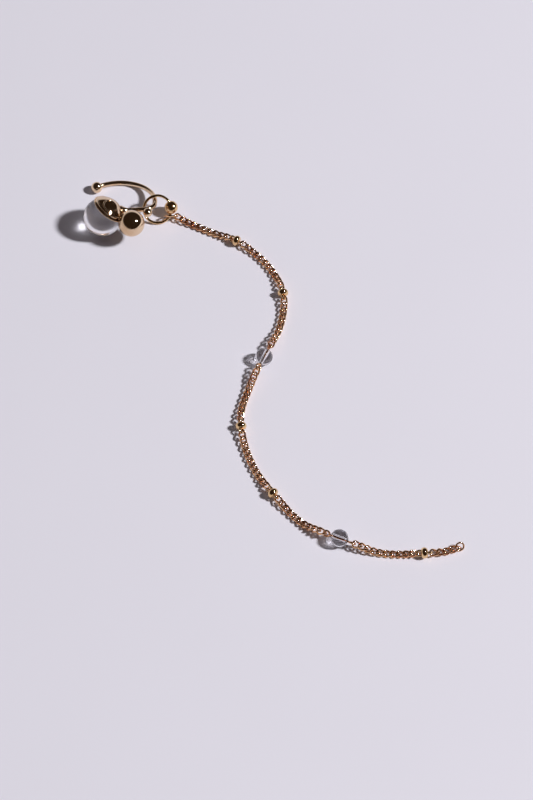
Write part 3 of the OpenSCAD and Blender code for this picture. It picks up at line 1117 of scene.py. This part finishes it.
class ChainRun(Piece):
    """One half of the chain's plain links, each a closed twisted ring through the next."""

    node, look = "chain_", "links"
    ARC_STEPS = 14
    WOBBLE = 2.2
    WOBBLE_STEP, WOBBLE_ROW = 0.7, (3.1, 0.4)

    def __init__(self, half: str, line: ChainLine, stretches: range) -> None:
        """Takes the stretches that this half holds.

        Args:
            half: The half's name, upper or lower.
            line: The chain's line.
            stretches: The numbers of its stretches.
        """
        super().__init__(line, half)
        self.stretches = stretches

    def link_mesh(self) -> Mesh:
        """One link in its own frame, in millimetres.

        Returns:
            The mesh.
        """
        c = self.line.sizes
        points = link_line(c, self.ARC_STEPS)
        turns = [link_turn(c, p.x) for p in points]
        normals = [Vector((0, -sin(turn), cos(turn))) for turn in turns]
        link = Shape()
        link.sweep(points, normals, [c.wire_r] * len(points), closed=True, sides=12)
        return link.to_mesh("link", scale=1.0)

    def form(self) -> None:
        """Places a copy of the link in each frame, a little unevenly."""
        link, shape = self.link_mesh(), self.shape
        frames = [place for i in self.stretches for place in self.line.stretch(i)]
        for k, place in enumerate(frames):
            chance = noise.noise(Vector((k * self.WOBBLE_STEP, *self.WOBBLE_ROW)))
            shape.copy_in(link, place @ turned(self.WOBBLE * chance, "X"))
        bpy.data.meshes.remove(link)


class Station(Piece):
    """A piece that stands at a bead's place on the chain."""

    def __init__(self, number: int, at: int, line: ChainLine) -> None:
        """Names and places the piece.

        Args:
            number: Its number in its node's name.
            at: The bead's place among all the beads, from 0.
            line: The chain's line.
        """
        super().__init__(line, f"_{number}")
        self.at = at

    def here(self, half: float) -> Matrix:
        """The frame at the bead's place, for a piece of a given half length."""
        return self.line.spanning(self.line.bead_at(self.at), half)

    def eyes(self, here: Matrix, out: float, d: float, wire_d: float) -> None:
        """Adds a round loop on each side, turned to take a link.

        Args:
            here: The piece's frame.
            out: From the piece's middle to each loop's middle.
            d: A loop's diameter on its wire's centre line.
            wire_d: The wire's diameter.
        """
        for side in (-1, 1):
            turn = turned(-side * self.line.sizes.twist, "X")
            place = here @ turn @ Matrix.Translation((side * out, 0, 0))
            self.shape.ring(d, wire_d, place, around=40, sides=14)


class GoldBead(Station):
    """A small gold bead with a wire eye on each side."""

    node = "gold_bead"
    ARC_STEPS = 24

    def form(self) -> None:
        """Shapes the turned bead and its eyes."""
        c, shape = self.line.sizes, self.shape
        here = self.here(c.gold_bead_w)
        edge_r = c.gold_bead_w / 2
        core_r = c.gold_bead_d / 2 - edge_r
        arcs = [flat(edge_r, angle) for angle in evenly(-90.0, 90.0, self.ARC_STEPS)]
        edge = [(core_r + arc.x, arc.y) for arc in arcs]
        profile = [(0.0, -edge_r), *edge, (0.0, edge_r)]
        shape.lathe(profile, here @ turned(90, "Y"), steps=48)
        self.eyes(here, self.line.gold_eye_at, c.link_w, c.wire_d)


class GlassBead(Station):
    """A drilled clear bead."""

    node, look, slot = "glass_bead", "clear", Slot.GLASS
    ARC_STEPS, BORE_STEPS = 48, 12

    def form(self) -> None:
        """Shapes the ball and its bore as one closed outline, spun."""
        c, shape = self.line.sizes, self.shape
        r, bore_r = c.glass_bead_d / 2, c.glass_bead_bore / 2
        mouth = degrees(acos(bore_r / r))
        half = r * sin(radians(mouth))
        profile = [flat(r, angle).xy for angle in evenly(-mouth, mouth, self.ARC_STEPS)]
        profile += [(bore_r, h) for h in evenly(half, -half, self.BORE_STEPS)[1:-1]]
        profile.append(profile[0])
        shape.lathe(profile, self.here(self.line.pin_half) @ turned(90, "Y"))


class BeadPin(Station):
    """The pin through a clear bead, turned into a loop at each end."""

    node = "bead_pin"
    STEPS = 12

    def form(self) -> None:
        """Shapes the straight pin and its loops."""
        c, shape = self.line.sizes, self.shape
        here = self.here(self.line.pin_half)
        end = self.line.pin_loop_at - c.pin_loop_d / 2
        stations = [here @ Vector((x, 0, 0)) for x in evenly(-end, end, self.STEPS)]
        count = len(stations)
        up = here.to_3x3() @ Vector((0, 0, 1))
        shape.sweep(stations, [up] * count, [c.pin_wire_d / 2] * count, sides=16)
        self.eyes(here, self.line.pin_loop_at, c.pin_loop_d, c.pin_wire_d)


class EndRing(Piece):
    """The small ring at the chain's free end."""

    node = "end_ring"

    def form(self) -> None:
        """Shapes the tilted ring."""
        c, shape = self.line.sizes, self.shape
        half = c.end_ring_d / 8
        place = self.line.spanning(self.line.length - half, half)
        place = place @ turned(c.end_ring_tilt, "X")
        shape.ring(c.end_ring_d, c.end_ring_wire_d, place, around=56, sides=16)


# ---- The scene ----


@dataclass(frozen=True)
class CameraPlace:
    """The camera: its place in metres, its tilt and its width of view in degrees."""

    at: tuple[float, float, float] = (0.03070, -0.31448, 0.42539)
    tilt: float = 32.0
    width: float = 12.0
    clip: tuple[float, float] = (0.01, 20.0)

    def build(self) -> None:
        """Makes the scene's camera."""
        lens = bpy.data.cameras.new("camera")
        lens.sensor_fit = "HORIZONTAL"
        lens.angle = radians(self.width)
        lens.clip_start, lens.clip_end = self.clip
        camera = stand("camera", lens)
        camera.location = self.at
        camera.rotation_euler = (radians(self.tilt), 0, 0)
        bpy.context.scene.camera = camera


@dataclass(frozen=True)
class SoftLight:
    """A soft area light: where it stands, where it points, its size and its power."""

    name: str
    at: tuple[float, float, float]
    to: tuple[float, float, float]
    size: float
    power: float
    form: LightForm = LightForm.DISK
    colour: Colour = (1.0, 0.98, 0.95)
    mirrored: bool = True
    length: float = 0.0

    def build(self) -> None:
        """Makes the light."""
        light = bpy.data.lights.new(self.name, "AREA")
        light.shape = self.form.value
        light.size = self.size
        light.size_y = self.length
        light.energy = self.power
        light.color = self.colour
        lamp = stand(self.name, light)
        way = Vector(self.to) - Vector(self.at)
        lamp.location = self.at
        lamp.rotation_euler = way.to_track_quat("-Z", "Y").to_euler()
        lamp.visible_glossy = self.mirrored
        lamp.visible_transmission = self.mirrored


@dataclass(frozen=True)
class DimRoom:
    """The room round the floor: pale near the horizon, higher on the left, dark above.

    The edge runs where a view's rise, with these shares of its way back and its way
    right added, passes from one value to the other.
    """

    pale: Colour = (0.59, 0.577, 0.62)
    dark: Colour = (0.026, 0.017, 0.012)
    back_share: float = -0.10
    right_share: float = 0.23
    edge: tuple[float, float] = (0.02, 0.18)

    def build(self) -> None:
        """Makes the world."""
        world = bpy.data.worlds.new("dark_room")
        world.use_nodes = True
        sheet = NodeSheet(world.node_tree)
        background = world.node_tree.nodes["Background"]
        where = sheet.add("ShaderNodeTexCoord")
        parts = sheet.add("ShaderNodeSeparateXYZ")
        back, right = (
            sheet.add("ShaderNodeMath", {1: share}, operation="MULTIPLY_ADD")
            for share in (self.back_share, self.right_share))
        low, high = self.edge
        level = sheet.add(
            "ShaderNodeMapRange", {"From Min": low, "From Max": high},
            interpolation_type="SMOOTHSTEP")
        shade = sheet.blend(self.pale, self.dark)
        sheet.join(where, "Generated", parts, "Vector")
        sheet.join(parts, "Y", back, 0)
        sheet.join(parts, "Z", back, 2)
        sheet.join(parts, "X", right, 0)
        sheet.join(back, "Value", right, 2)
        sheet.join(right, "Value", level, "Value")
        sheet.join(level, "Result", shade, "Factor")
        sheet.join(shade, "Result", background, "Color")
        bpy.context.scene.world = world


class Studio:
    """The pale floor, the dim room and the soft lights."""

    LIGHTS = (
        SoftLight("key_light", (2.17, -0.26, 2.07), (0.03, -0.035, 0.0), 0.34, 110.0),
        SoftLight("fill_light", (-0.3, 0.2, 2.2), (0.03, -0.035, 0.0), 2.4, 4.2,
                  colour=(1.0, 0.95, 0.97), mirrored=False),
    )
    # What the glass ball gathers on the floor: the bright spot beside it and the faint
    # pool behind its foot, as oval lamps. Each has its way aside and back from the
    # ball's middle, its height over the floor, its width and length in millimetres,
    # and its power.
    GATHERED = (
        ("gathered_spot", -4.6, 0.4, 0.7, 1.4, 1.8, 1.8e-5),
        ("gathered_pool", -0.9, 3.7, 0.5, 1.8, 1.2, 3.2e-6),
    )
    FLOOR_AT = (0.03, -0.03)
    FLOOR_HALF = 1.6
    FLOOR_DROP_MM = 0.01

    def build(self, surface: Material, line: HookLine) -> None:
        """Makes the floor, the room and the lights.

        Args:
            surface: The floor's material.
            line: The hook's line, with the places of the floor and the glass ball.
        """
        table_z = line.hook.table_z
        bm = bmesh.new()
        drop = Matrix.Translation((*self.FLOOR_AT, (table_z - self.FLOOR_DROP_MM) * MM))
        bmesh.ops.create_grid(
            bm, x_segments=4, y_segments=4, size=self.FLOOR_HALF, matrix=drop)
        mesh = bpy.data.meshes.new("floor")
        bm.to_mesh(mesh)
        bm.free()
        mesh.materials.append(surface)
        floor = stand("floor", mesh)
        DimRoom().build()
        lights = list(self.LIGHTS)
        for name, aside, back, height, width, length, power in self.GATHERED:
            x, y = (line.glass_at.x + aside) * MM, (line.glass_at.y + back) * MM
            lights.append(SoftLight(
                name, (x, y, (table_z + height) * MM), (x, y, table_z * MM), width * MM,
                power, form=LightForm.OVAL, mirrored=False, length=length * MM))
        for light in lights:
            light.build()
        bpy.context.scene.view_settings.view_transform = "Standard"


def main() -> None:
    """Makes every piece, the floor, the lights and the camera."""
    logging.basicConfig(level=logging.INFO, format="%(name)s: %(message)s")
    CameraPlace().build()
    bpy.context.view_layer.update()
    finishes = Finishes()
    line = HookLine()
    Studio().build(finishes.surface, line)
    hoop = HoopRing(line.hook)
    jump = JumpRing(line.hook, hoop)
    EarHook(line).build(finishes.ball_gold)
    GlassBall(line).build(finishes.glass)
    hoop.build(finishes.ring_gold)
    jump.build(finishes.chain_gold)

    route = ChainLine(jump, line.hook.table_z)
    for half, stretches in (("upper", range(0, 4)), ("lower", range(4, 8))):
        ChainRun(half, route, stretches).build(finishes.chain_gold)
    gold_number, glass_number = 0, 0
    for i, kind in enumerate(route.sizes.beads):
        if kind is BeadKind.GOLD:
            gold_number += 1
            GoldBead(gold_number, i, route).build(finishes.ring_gold)
        else:
            glass_number += 1
            GlassBead(glass_number, i, route).build(finishes.glass)
            BeadPin(glass_number, i, route).build(finishes.chain_gold)
    EndRing(route).build(finishes.chain_gold)


if __name__ == "__main__":
    main()
